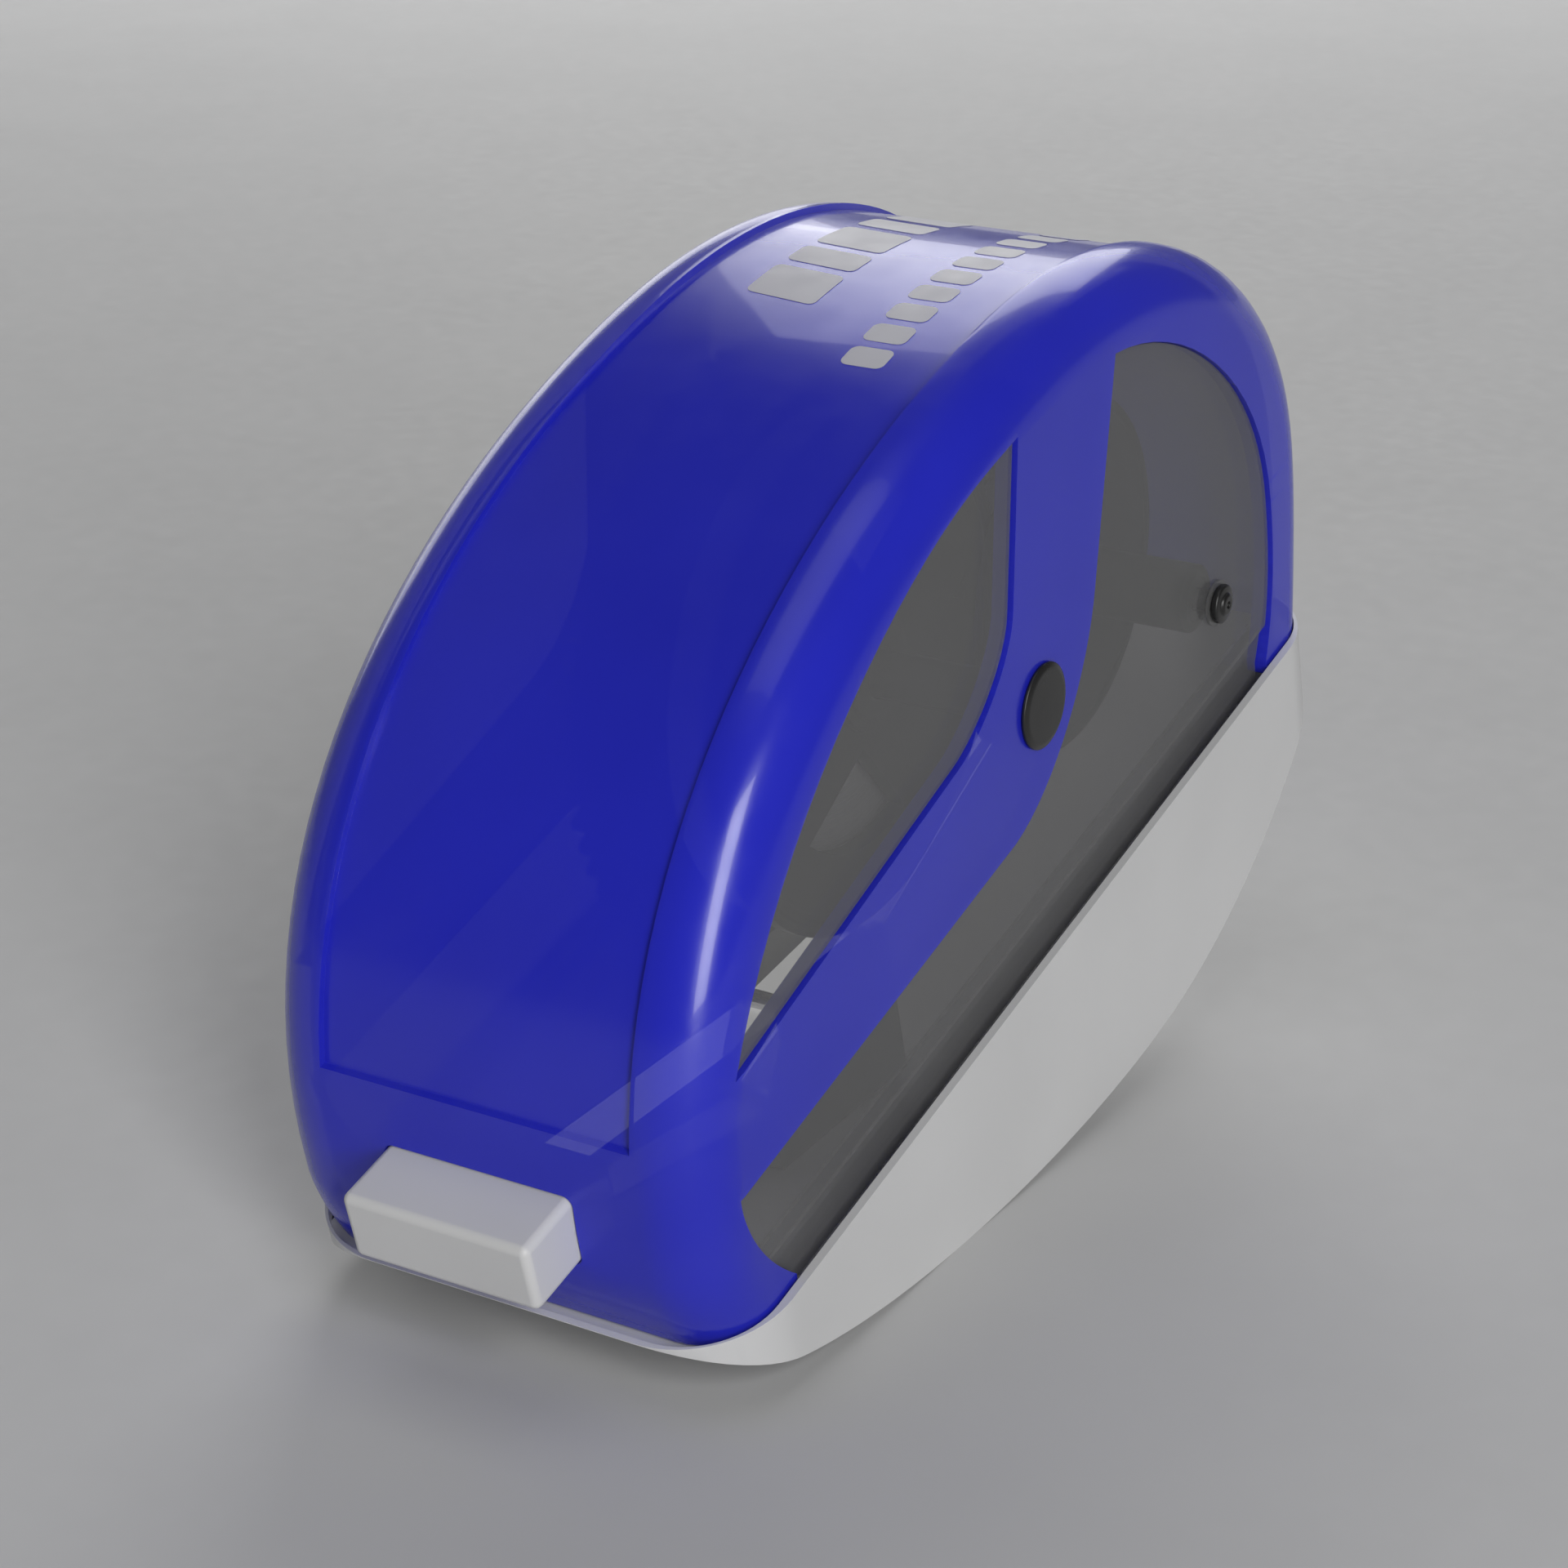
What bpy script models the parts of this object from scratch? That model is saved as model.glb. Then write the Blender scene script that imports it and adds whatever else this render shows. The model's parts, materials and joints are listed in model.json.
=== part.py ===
"""Correction tape roller: a domed casing over a crescent base, two reels and a tip head.

Everything is laid out in the roller's own frame. X runs along the split line of the
casing, from the tape tip (-X) to the back, Y is across the casing and Z is up. One
empty then leans that frame forward, as the roller rests on its curved base.
Lengths are in millimetres until the helpers turn them into metres.
"""
import math

import bmesh
import bpy
from mathutils import Vector

MM = 0.001
ARC_HANDLE = 0.5523      # Bezier handle of a quarter circle of radius 1

# Driving dimensions of the casing
LEAN_DEG = 15.4          # nose-down lean of the roller at rest on its base
DOME_HALF = 12.5         # half width of the blue casing
DOME_ROUND = 3.5         # radius of the casing's long edges
DOME_WALL = 1.2
DOME_FOOT = 0.0          # height of the casing's lower edge
PANEL_HALF = 8.7         # half width of the recessed band over the dome
PANEL_DEEP = 0.4
PANEL_FOOT = 11.5        # height where the recessed band ends
BASE_HALF = 13.1         # half width of the white base
BASE_WALL = 1.0
RIM_TOP = 0.6
RIM_LEDGE = -0.2
RIM_HALF = 12.65         # inner half width of the rim around the casing
BASE_FRONT = -30.25
BASE_BACK = 38.2
BASE_CORNER = 5.5        # plan radius of the base's corners
RIM_EDGE = 0.35          # thickness of the rim at the front and the back
RIM_CORNER = 4.5         # inner plan radius of the rim's corners
SCREW_END = 13.1         # how far the head of the post screw stands out
WINDOW_FACE = 12.25      # outer face of the window panes, from the middle plane
WINDOW_THICK = 0.8
WINDOW_SILL = -0.1       # lower edge of the rear panes, just above the base's ledge
WINDOW_GAP = 0.12        # clearance between a pane and its opening

# Reels
AXLE = (5.12, 14.53)     # supply reel axis, X and Z
POST = (25.45, 8.06)     # take-up reel axis, X and Z
AXLE_R = 1.3
POST_R = 1.2
RUN_GAP = 0.1            # radial clearance of a turning fit
BUTTON_R = 2.27
SUPPLY_FLANGE_R = 14.1
SUPPLY_HUB_R = 4.4
SUPPLY_HALF = 2.55
FLANGE_THICK = 1.0
TAPE_R = 13.4            # radius of the tape left on the supply reel
TAPE_HALF = 1.2
TAKEUP_FLANGE_R = 10.3
TAKEUP_HUB_R = 4.8
TAKEUP_IN = 2.75
TAKEUP_OUT = 3.25
WOUND_R = 5.4            # radius of the spent backing on the take-up reel
SPACER_R = 1.93
GEAR_Y = 4.15
GEAR_THICK = 1.4
SUPPLY_TEETH = 63
TAKEUP_TEETH = 22
PLATE_Y = 6.4
PLATE_THICK = 1.0

# Tip head
HEAD_FRONT = -33.45
HEAD_BACK = -26.8
HEAD_LOW = 4.45
HEAD_HIGH = 8.25
HEAD_HALF = 5.25
HEAD_WALL = 0.6
HEAD_SLOT_HALF = 2.5
ROLLER = (-31.3, 5.25)
ROLLER_R = 0.95

# Guides for the tape
GUIDE_PIN_R = 0.5
PIN_REAR = (1.9, -0.4)
PIN_FRONT = (-5.9, 0.45)
PIN_RETURN = (-8.0, -4.2)
STRIP_THICK = 0.2
STRIP_LIFT = 0.06        # gap between the strip and what it bends round

AXIS_DISTANCE = math.dist(AXLE, POST)
GEAR_MODULE = 2 * AXIS_DISTANCE / (SUPPLY_TEETH + TAKEUP_TEETH)


# ---------------------------------------------------------------- scene helpers
def clear_scene():
    for obj in list(bpy.data.objects):
        bpy.data.objects.remove(obj, do_unlink=True)


def new_collection(name):
    group = bpy.data.collections.new(name)
    bpy.context.scene.collection.children.link(group)
    return group


clear_scene()
PARTS = new_collection("correction_tape_roller")
CUTTERS = new_collection("cutters")
LEANING = bpy.data.objects.new("leaning_frame", None)
PARTS.objects.link(LEANING)


def material(name, colour, roughness, metallic=0.0, alpha=1.0):
    mat = bpy.data.materials.new(name)
    mat.use_nodes = True
    shader = mat.node_tree.nodes["Principled BSDF"]
    shader.inputs["Base Color"].default_value = (*colour, 1.0)
    shader.inputs["Roughness"].default_value = roughness
    shader.inputs["Metallic"].default_value = metallic
    shader.inputs["Alpha"].default_value = alpha
    return mat


BLUE = material("blue_casing", (0.035, 0.04, 0.48), 0.18)
WHITE = material("white_shell", (0.8, 0.8, 0.8), 0.35)
SMOKE = material("smoked_pane", (0.2, 0.2, 0.21), 0.1, alpha=0.6)
BLACK = material("black_plastic", (0.02, 0.02, 0.02), 0.35)
GREY = material("grey_plastic", (0.3, 0.3, 0.31), 0.45)
STEEL = material("steel", (0.6, 0.6, 0.62), 0.3, metallic=1.0)
TAPE = material("white_tape", (0.85, 0.85, 0.83), 0.6)
BACKING = material("paper_backing", (0.75, 0.74, 0.68), 0.7)
FELT = material("clutch_felt", (0.08, 0.08, 0.09), 0.9)


def place(obj, x=0.0, y=0.0, z=0.0, turn=(0.0, 0.0, 0.0)):
    """Set an object in the roller's frame, at a place given in millimetres."""
    obj.parent = LEANING
    obj.location = (x * MM, y * MM, z * MM)
    obj.rotation_euler = turn
    return obj


def link(obj, mat=None):
    """File a part with its material, or a cutter, which has none."""
    if mat is None:
        CUTTERS.objects.link(obj)
        obj.hide_render = True
        obj.display_type = 'WIRE'
    else:
        PARTS.objects.link(obj)
        obj.data.materials.append(mat)
    return obj


def smooth(mesh, angle_deg=35.0):
    mesh.shade_smooth()
    mesh.set_sharp_from_angle(angle=math.radians(angle_deg))


# ---------------------------------------------------------------- shape helpers
def box(name, low, high, mat=None):
    """A block between two corners, in millimetres."""
    mesh = bpy.data.meshes.new(name)
    bm = bmesh.new()
    bmesh.ops.create_cube(bm, size=1.0)
    size = [(b - a) * MM for a, b in zip(low, high)]
    middle = [(a + b) / 2 for a, b in zip(low, high)]
    bmesh.ops.scale(bm, vec=size, verts=bm.verts)
    bm.to_mesh(mesh)
    bm.free()
    return place(link(bpy.data.objects.new(name, mesh), mat), *middle)


def turned(name, axis, profile, mat=None, steps=32):
    """A turned piece about a line along Y through axis = (x, z).

    The profile is a list of (radius, y) that runs down the outer side, from the +Y
    end to the -Y end. It closes on itself, unless both its ends are on the axis.
    """
    mesh = bpy.data.meshes.new(name)
    verts = [(r * MM, 0.0, y * MM) for r, y in profile]
    edges = [(i, i + 1) for i in range(len(verts) - 1)]
    if profile[0][0] > 0:
        edges.append((len(verts) - 1, 0))
    mesh.from_pydata(verts, edges, [])
    obj = link(bpy.data.objects.new(name, mesh), mat)
    screw = obj.modifiers.new("turn", 'SCREW')
    screw.steps = steps
    screw.render_steps = steps
    screw.use_merge_vertices = True
    screw.merge_threshold = 0.00001
    screw.use_smooth_shade = True
    return place(obj, axis[0], 0.0, axis[1], turn=(-math.pi / 2, 0.0, 0.0))


def rod(name, axis, radius, y_low, y_high, mat=None, steps=24):
    profile = [(0, y_high), (radius, y_high), (radius, y_low), (0, y_low)]
    return turned(name, axis, profile, mat, steps)


def ring(name, axis, outer, inner, y_low, y_high, mat=None, steps=32):
    profile = [(outer, y_high), (outer, y_low), (inner, y_low), (inner, y_high)]
    return turned(name, axis, profile, mat, steps)


def bezier_ring(curve, anchors, resolution):
    """Add a closed spline. An anchor is (x, z, handle in, handle out) in millimetres,
    with the handles given from the anchor, or None where a side is straight."""
    spline = curve.splines.new('BEZIER')
    spline.bezier_points.add(len(anchors) - 1)
    spline.use_cyclic_u = True
    spline.resolution_u = resolution
    for point, (x, z, before, after) in zip(spline.bezier_points, anchors):
        point.co = (x * MM, z * MM, 0.0)
        for side, handle in (("left", before), ("right", after)):
            kind = 'VECTOR' if handle is None else 'FREE'
            setattr(point, f"handle_{side}_type", kind)
            if handle is not None:
                spot = ((x + handle[0]) * MM, (z + handle[1]) * MM, 0.0)
                setattr(point, f"handle_{side}", spot)


def poly_ring(curve, points):
    spline = curve.splines.new('POLY')
    spline.points.add(len(points) - 1)
    spline.use_cyclic_u = True
    for point, (x, z) in zip(spline.points, points):
        point.co = (x * MM, z * MM, 0.0, 1.0)


def circle_points(centre, radius, count):
    step = 2 * math.pi / count
    return [(centre[0] + radius * math.cos(i * step), centre[1] + radius * math.sin(i * step))
            for i in range(count)]


def flat_curve(name, half_thick, rounding=0.0, bevel_steps=3):
    curve = bpy.data.curves.new(name, 'CURVE')
    curve.dimensions = '2D'
    curve.fill_mode = 'BOTH'
    curve.extrude = (half_thick - rounding) * MM
    curve.bevel_depth = rounding * MM
    curve.bevel_resolution = bevel_steps
    curve.offset = -rounding * MM
    curve.render_resolution_u = 0
    return curve


def solid_from_curve(name, curve, y_middle, mat=None, across=True):
    """Turn a flat curve into a closed mesh, upright in XZ or, if not across, flat in XY."""
    stand_in = bpy.data.objects.new(name + "_curve", curve)
    bpy.context.scene.collection.objects.link(stand_in)
    graph = bpy.context.evaluated_depsgraph_get()
    mesh = bpy.data.meshes.new_from_object(stand_in.evaluated_get(graph))
    mesh.name = name
    bpy.data.objects.remove(stand_in, do_unlink=True)
    bpy.data.curves.remove(curve)
    bm = bmesh.new()
    bm.from_mesh(mesh)
    bmesh.ops.remove_doubles(bm, verts=bm.verts, dist=0.000001)
    bmesh.ops.recalc_face_normals(bm, faces=bm.faces)
    bm.to_mesh(mesh)
    bm.free()
    mesh.materials.clear()
    smooth(mesh)
    obj = link(bpy.data.objects.new(name, mesh), mat)
    if across:
        return place(obj, 0.0, y_middle, 0.0, turn=(math.pi / 2, 0.0, 0.0))
    return place(obj, 0.0, 0.0, y_middle)


def slab(name, anchors, y_middle, half_thick, mat=None, resolution=8, rounding=0.0):
    curve = flat_curve(name, half_thick, rounding)
    bezier_ring(curve, anchors, resolution)
    return solid_from_curve(name, curve, y_middle, mat)


def straight(points):
    """Anchors for an outline with straight sides."""
    return [(x, z, None, None) for x, z in points]


def modify(obj, cutter, operation='DIFFERENCE'):
    change = obj.modifiers.new(operation.lower(), 'BOOLEAN')
    change.operation = operation
    change.solver = 'EXACT'
    change.object = cutter
    return obj


# ---------------------------------------------------------------- outlines
def dome_outline(inset=0.0, foot=-4.0):
    """The casing's side view: a long front slope, a round crown and a full back."""
    back = 38.75 - inset
    crown = 33.0 - inset
    front = -29.9 + inset
    return [
        (36.4 - inset, foot, None, (0.7, 4.0)),
        (back, 11.7, (0.0, -4.5), (0.0, 13.0 - inset * 0.3)),
        (9.4, crown, (15.6 - inset * 0.3, 0.0), (-19.4 + inset * 0.3, 0.0)),
        (front, 4.5, (0.0, 20.5 - inset * 0.3), (0.0, -3.0)),
        (-27.6 + inset, foot, (-0.6, 3.0), None),
    ]


def crescent_outline(inset=0.0, top=RIM_TOP):
    """The base's side view: a straight top and one long curve below it."""
    return [
        (38.2 - inset, top, None, (-1.0, -5.6)),
        (13.5, -12.45 + inset, (12.5, 0.0), (-14.0, 0.0)),
        (-30.3 + inset * 1.7, top, (7.9, -7.2), None),
    ]


def rounded_plan(front, back, half, radius):
    """A rounded rectangle seen from above."""
    bend = radius * ARC_HANDLE
    flat = half - radius
    return [
        (back, -flat, (0.0, -bend), None),
        (back, flat, None, (0.0, bend)),
        (back - radius, half, (bend, 0.0), None),
        (front + radius, half, None, (-bend, 0.0)),
        (front, flat, (0.0, bend), None),
        (front, -flat, None, (0.0, -bend)),
        (front + radius, -half, (-bend, 0.0), None),
        (back - radius, -half, None, (bend, 0.0)),
    ]


def front_window(shrink=0.0):
    """The front window: a blade with its point low at the front."""
    s = shrink
    return [
        (-25.2 + 2.2 * s, 13.9 + s, None, (5.0, 8.0)),
        (-2.1 + 0.2 * s, 28.8 - s, (-8.5, -1.8), (3.0, 0.6)),
        (5.9 - s, 29.6 - s * 1.2, (-3.0, -0.1), None),
        (3.5 - s, 21.1, None, (-0.6, -2.3)),
        (-3.2 - 0.3 * s, 16.3 + s, (2.4, 0.35), None),
    ]


def rear_window(shrink=0.0, sill=WINDOW_SILL):
    """The rear window: it runs under the band and up behind it, and down to its sill."""
    s = shrink
    return [
        (16.4 + s * 0.8, 28.5 - s * 1.3, None, (7.5, -1.8)),
        (32.8 - s, 10.3, (0.2, 8.5), (0.0, -4.0)),
        (30.7 - s, 0.75, (1.4, 2.9), None),
        (30.7 - s, sill, None, None),
        (-23.4 + s, sill, None, None),
        (-23.4 + s, 0.75, None, (-2.0, 2.2)),
        (-26.5 + s, 7.9 - s, (-0.2, -2.2), None),
        (1.1 - s * 0.2, 8.7 - s, None, (4.6, 0.5)),
        (11.8 + s * 0.8, 17.3 - s * 0.5, (-1.5, -3.8), None),
    ]


# ---------------------------------------------------------------- casing
def dome():
    shell = slab("housing_dome", dome_outline(), 0.0, DOME_HALF, BLUE, 9, DOME_ROUND)
    hollow = slab("dome_hollow", dome_outline(DOME_WALL, -6.0), 0.0, DOME_HALF - DOME_WALL,
                  None, 9, DOME_ROUND - DOME_WALL)
    modify(shell, hollow)
    modify(shell, box("dome_trim", (-40, -20, -10), (50, 20, DOME_FOOT)))
    modify(shell, panel_cutter())
    for side, name in ((-1, "near"), (1, "far")):
        middle = side * DOME_HALF
        modify(shell, slab(f"front_cut_{name}", front_window(), middle, 2.0))
        modify(shell, slab(f"rear_cut_{name}", rear_window(sill=-1.0), middle, 2.0))
    modify(shell, rod("axle_bore", AXLE, AXLE_R + RUN_GAP, -20, 20))
    gap = 0.2
    modify(shell, box("head_hole", (-31, -HEAD_HALF - gap, HEAD_LOW - gap),
                      (-27, HEAD_HALF + gap, HEAD_HIGH + gap)))
    modify(shell, box("return_slot", (-31, -HEAD_SLOT_HALF, 2.3),
                      (-27, HEAD_SLOT_HALF, HEAD_LOW)))
    return shell


def panel_cutter():
    """The recess over the dome: the space outside a slightly smaller dome, in a band."""
    band = box("panel_band", (-45, -PANEL_HALF, PANEL_FOOT), (50, PANEL_HALF, 45))
    core = slab("panel_core", dome_outline(PANEL_DEEP), 0.0, 15.0, None, 9)
    return modify(band, core)


def base():
    shell = slab("base_shell", crescent_outline(), 0.0, BASE_HALF, WHITE, 10)
    plan = flat_curve("base_plan", 15.0)
    bezier_ring(plan, rounded_plan(BASE_FRONT, BASE_BACK, BASE_HALF, BASE_CORNER), 4)
    modify(shell, solid_from_curve("base_plan", plan, 0.0, None, across=False), 'INTERSECT')
    hollow = slab("base_hollow", crescent_outline(BASE_WALL, 0.1), 0.0, BASE_HALF, None, 10)
    inner_plan = flat_curve("inner_plan", 15.0)
    bezier_ring(inner_plan, rounded_plan(BASE_FRONT + BASE_WALL, BASE_BACK - BASE_WALL,
                                         BASE_HALF - BASE_WALL, BASE_CORNER - BASE_WALL), 4)
    modify(hollow, solid_from_curve("inner_plan", inner_plan, 0.0, None, across=False), 'INTERSECT')
    modify(shell, hollow)
    rim = flat_curve("rim_recess", 5.0)
    bezier_ring(rim, rounded_plan(BASE_FRONT + RIM_EDGE, BASE_BACK - RIM_EDGE, RIM_HALF, RIM_CORNER), 4)
    modify(shell, solid_from_curve("rim_recess", rim, RIM_LEDGE + 5.0, None, across=False))
    return shell


def windows():
    middle = WINDOW_FACE - WINDOW_THICK / 2
    half = WINDOW_THICK / 2
    for side, name in ((-1, "near"), (1, "far")):
        slab(f"window_front_{name}", front_window(WINDOW_GAP), side * middle, half, SMOKE, 6)
        rear = slab(f"window_rear_{name}", rear_window(WINDOW_GAP), side * middle, half, SMOKE, 6)
        if side < 0:
            modify(rear, rod("screw_hole", POST, 0.75, -20, -5, None, 16))


def head():
    """The tip head: a block with a channel that holds the roller, open below and behind."""
    block = box("tip_head", (HEAD_FRONT, -HEAD_HALF, HEAD_LOW),
                (HEAD_BACK, HEAD_HALF, HEAD_HIGH), WHITE)
    soft = block.modifiers.new("soft_edges", 'BEVEL')
    soft.width = 0.4 * MM
    soft.segments = 2
    modify(block, box("head_collar", (-28.1, -5.9, HEAD_LOW + 0.2), (-27.3, 5.9, 8.9)), 'UNION')
    modify(block, box("head_channel", (HEAD_FRONT + HEAD_WALL, -HEAD_SLOT_HALF, 0),
                      (-20, HEAD_SLOT_HALF, HEAD_HIGH - 0.7)))
    modify(block, rod("head_pin_hole", ROLLER, 0.36, -4.6, 7.0, None, 16))
    ring("tip_roller", ROLLER, ROLLER_R, 0.38, -2.2, 2.2, BLACK, 24)
    rod("tip_pin", ROLLER, 0.3, -4.5, 4.9, STEEL, 16)


# ---------------------------------------------------------------- reels and gears
def gear_points(centre, teeth, first_tooth):
    """The outline of a spur gear with straight-sided teeth, slimmed for backlash."""
    pitch = GEAR_MODULE * teeth / 2
    tip = pitch + 0.85 * GEAR_MODULE
    root = pitch - 1.15 * GEAR_MODULE
    step = 2 * math.pi / teeth
    points = []
    for i in range(teeth):
        middle = first_tooth + i * step
        for radius, lead in ((root, -0.33), (tip, -0.12), (tip, 0.12), (root, 0.33)):
            angle = middle + lead * step
            points.append((centre[0] + radius * math.cos(angle),
                           centre[1] + radius * math.sin(angle)))
    return points


def gear(name, centre, teeth, first_tooth, bore):
    curve = flat_curve(name, GEAR_THICK / 2)
    poly_ring(curve, gear_points(centre, teeth, first_tooth))
    poly_ring(curve, circle_points(centre, bore, 32))
    wheel = solid_from_curve(name, curve, GEAR_Y + GEAR_THICK / 2, GREY)
    return wheel


def centre_on(obj, axis):
    """Move a part's origin to its axle, and leave its shape where it is."""
    shift = Vector((axis[0] * MM, axis[1] * MM, 0.0))
    for vert in obj.data.vertices:
        vert.co -= shift
    obj.location.x += shift.x
    obj.location.z += shift.y
    return obj


def supply_reel():
    f = SUPPLY_HALF
    inner = f - FLANGE_THICK
    bore = AXLE_R + RUN_GAP / 2
    boss = GEAR_Y - 0.1
    turned("supply_spool", AXLE, [
        (3.2, boss), (3.2, f), (SUPPLY_FLANGE_R, f), (SUPPLY_FLANGE_R, inner),
        (SUPPLY_HUB_R, inner), (SUPPLY_HUB_R, -inner), (SUPPLY_FLANGE_R, -inner),
        (SUPPLY_FLANGE_R, -f), (3.2, -f), (3.2, -f - 0.8), (bore, -f - 0.8), (bore, boss),
    ], GREY, 48)
    ring("tape_roll", AXLE, TAPE_R, SUPPLY_HUB_R + 0.1, -TAPE_HALF, TAPE_HALF, TAPE, 48)
    rod("main_axle", AXLE, AXLE_R, -12.45, 12.45, GREY)
    for side, name in ((-1, "near"), (1, "far")):
        faces = sorted((side * 12.56, side * 12.85), reverse=True)
        edge = 0.12
        top = [(BUTTON_R - edge, faces[0]), (BUTTON_R, faces[0] - edge)]
        low = [(BUTTON_R, faces[1] + edge), (BUTTON_R - edge, faces[1])]
        turned(f"button_{name}", AXLE, [(0, faces[0]), *top, *low, (0, faces[1])], BLACK)
    toward_post = math.atan2(POST[1] - AXLE[1], POST[0] - AXLE[0])
    wheel = gear("supply_gear", AXLE, SUPPLY_TEETH, toward_post, AXLE_R + RUN_GAP / 2)
    centre_on(wheel, AXLE)
    return toward_post


def takeup_reel(toward_post):
    bore = POST_R + RUN_GAP
    turned("takeup_spool", POST, [
        (TAKEUP_FLANGE_R, TAKEUP_OUT), (TAKEUP_FLANGE_R, TAKEUP_IN), (TAKEUP_HUB_R, TAKEUP_IN),
        (TAKEUP_HUB_R, -TAKEUP_IN), (TAKEUP_FLANGE_R, -TAKEUP_IN), (TAKEUP_FLANGE_R, -TAKEUP_OUT),
        (bore, -TAKEUP_OUT), (bore, TAKEUP_OUT),
    ], GREY, 40)
    ring("takeup_roll", POST, WOUND_R, TAKEUP_HUB_R + 0.1, -TAPE_HALF, TAPE_HALF, BACKING)
    ring("clutch_ring", POST, 3.2, 1.6, TAKEUP_OUT + 0.06, GEAR_Y - 0.06, FELT)
    half_tooth = math.pi / TAKEUP_TEETH
    wheel = gear("takeup_gear", POST, TAKEUP_TEETH, toward_post + math.pi + half_tooth, bore)
    centre_on(wheel, POST)


def takeup_post():
    """The fixed core that the take-up reel turns on, its spacer and the screw that holds it."""
    end = WINDOW_THICK - WINDOW_FACE + 0.3
    turned("takeup_post", POST, [
        (0, PLATE_Y + PLATE_THICK + 0.6), (POST_R + 0.8, PLATE_Y + PLATE_THICK + 0.6),
        (POST_R + 0.8, PLATE_Y + PLATE_THICK + 0.1), (POST_R, PLATE_Y + PLATE_THICK + 0.1),
        (POST_R, end), (0.7, end), (0.7, end + 3.0), (0, end + 3.0),
    ], GREY, 24)
    ring("post_spacer", POST, SPACER_R, POST_R + RUN_GAP / 2, end - 0.1, -TAKEUP_OUT - 0.15, GREY, 28)
    ring("screw_washer", POST, 1.3, 0.68, -12.44, -WINDOW_FACE - 0.04, SMOKE, 24)
    turned("post_screw", POST, [
        (0, end + 2.5), (0.6, end + 2.5), (0.6, -12.47), (1.1, -12.47), (1.1, -12.8),
        (0.95, -12.9), (0.62, -12.92), (0.62, -13.02), (0.5, -SCREW_END), (0.2, -SCREW_END),
        (0.2, -12.95), (0, -12.95),
    ], BLACK, 24)


def bridge_plate():
    """The plate behind the gears that joins the axle, the take-up post and the base."""
    outline = [(2.0, 18.0), (8.5, 18.0), (28.0, 11.4), (28.6, 5.2), (14.0, 1.5), (11.5, -10.0),
               (2.0, -10.0), (0.5, 4.0)]
    plate = slab("bridge_plate", straight(outline), PLATE_Y + PLATE_THICK / 2, PLATE_THICK / 2, GREY)
    modify(plate, rod("plate_axle_bore", AXLE, AXLE_R + RUN_GAP, 5, 9))
    modify(plate, rod("plate_post_bore", POST, POST_R + 0.05, 5, 9))
    return plate


# ---------------------------------------------------------------- tape path
def tangent(first, second):
    """Where the tape leaves one round and meets the next.

    A round is (centre, radius, side): side is 1 where the round lies to the left of
    the tape's travel, and -1 where it lies to the right.
    """
    (c1, r1, s1), (c2, r2, s2) = first, second
    along = Vector(c2) - Vector(c1)
    bend = math.asin((s1 * r1 - s2 * r2) / along.length)
    heading = math.atan2(along.y, along.x) + bend
    left = Vector((-math.sin(heading), math.cos(heading)))
    return Vector(c1) - left * s1 * r1, Vector(c2) - left * s2 * r2


def wrap(centre, side, start, finish, step_deg=22.0):
    """Points round a pin or roller between two tangent points."""
    centre = Vector(centre)
    a = math.atan2(start.y - centre.y, start.x - centre.x)
    b = math.atan2(finish.y - centre.y, finish.x - centre.x)
    sweep = (b - a) * side % (2 * math.pi)
    count = max(1, math.ceil(math.degrees(sweep) / step_deg))
    radius = (start - centre).length
    return [centre + radius * Vector((math.cos(a + side * sweep * i / count),
                                      math.sin(a + side * sweep * i / count)))
            for i in range(count + 1)]


def tape_rounds():
    lift = STRIP_LIFT + STRIP_THICK / 2
    pin = GUIDE_PIN_R + lift
    return [
        (AXLE, TAPE_R + lift, -1), (PIN_REAR, pin, -1), (PIN_FRONT, pin, -1),
        (ROLLER, ROLLER_R + lift, 1), (PIN_RETURN, pin, 1), (POST, WOUND_R + lift, 1),
    ]


def tape_path():
    rounds = tape_rounds()
    spans = [tangent(a, b) for a, b in zip(rounds, rounds[1:])]
    path = [spans[0][0]]
    for this, before, after in zip(rounds[1:], spans, spans[1:]):
        path += wrap(this[0], this[2], before[1], after[0])
    path.append(spans[-1][1])
    return path


def tape_strip():
    """The free length of the tape, from the supply roll over the tip to the take-up."""
    mesh = bpy.data.meshes.new("tape_strip")
    bm = bmesh.new()
    row = [bm.verts.new((p.x * MM, -TAPE_HALF * MM, p.y * MM)) for p in tape_path()]
    edges = [bm.edges.new(pair) for pair in zip(row, row[1:])]
    swept = bmesh.ops.extrude_edge_only(bm, edges=edges)["geom"]
    far_side = [item for item in swept if isinstance(item, bmesh.types.BMVert)]
    bmesh.ops.translate(bm, verts=far_side, vec=(0.0, 2 * TAPE_HALF * MM, 0.0))
    bmesh.ops.recalc_face_normals(bm, faces=bm.faces)
    bm.to_mesh(mesh)
    bm.free()
    strip = place(link(bpy.data.objects.new("tape_strip", mesh), TAPE))
    thick = strip.modifiers.new("thickness", 'SOLIDIFY')
    thick.thickness = STRIP_THICK * MM
    thick.offset = 0.0
    thick.use_even_offset = True


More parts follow.
